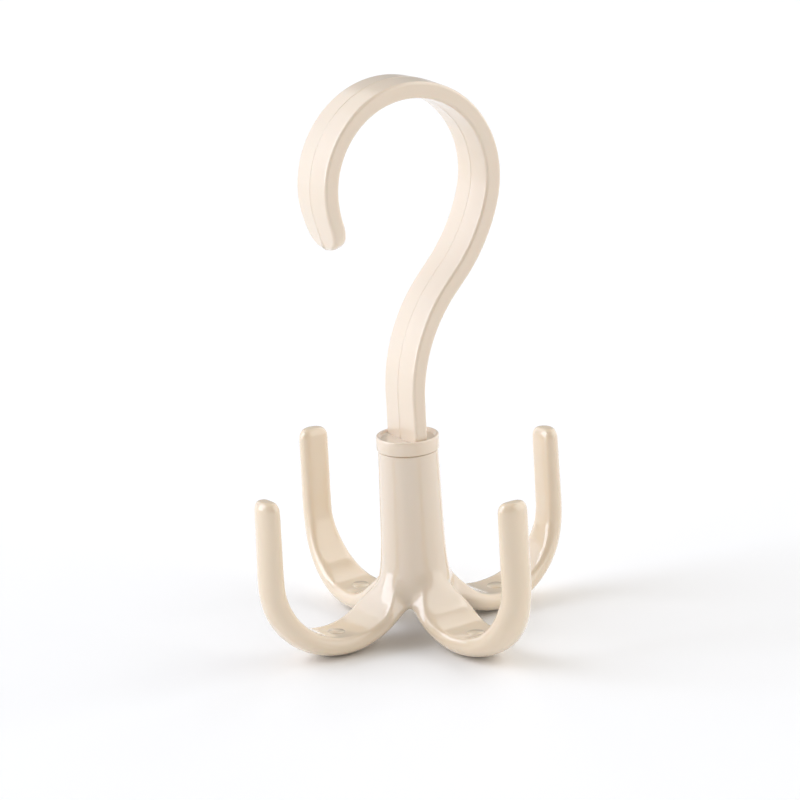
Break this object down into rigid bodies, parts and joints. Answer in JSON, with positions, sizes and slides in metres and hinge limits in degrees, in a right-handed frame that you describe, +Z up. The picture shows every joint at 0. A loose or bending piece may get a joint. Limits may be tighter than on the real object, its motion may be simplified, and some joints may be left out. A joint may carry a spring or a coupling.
{
  "type": "multi-claw hook",
  "caption": "Plastic swivel hook for a wardrobe rail: a flat band bent into an open hook turns on a round hub that spreads into upturned claws.",
  "frame": {"origin": "on the swivel axis, level with the lowest point of the claws", "axes": "+Z up along the swivel axis; the claws point along +X, -X, +Y and -Y; the band lies close to the XZ plane, turned 2.7 degrees, with its mouth towards -X"},
  "size_m": [0.1096, 0.1096, 0.1688],
  "materials": {
    "claw_plastic": "glossy cream beige",
    "hook_plastic": "glossy cream beige"
  },
  "bodies": {
    "claws": {"claw_body": "claw_plastic"},
    "hook": {"swivel_hook": "hook_plastic"}
  },
  "joints": [
    {"name": "swivel", "type": "hinge", "parent": "claws", "child": "hook", "pos_m": [0, 0, 0.0569], "axis": [0, 0, 1], "continuous": true}
  ]
}
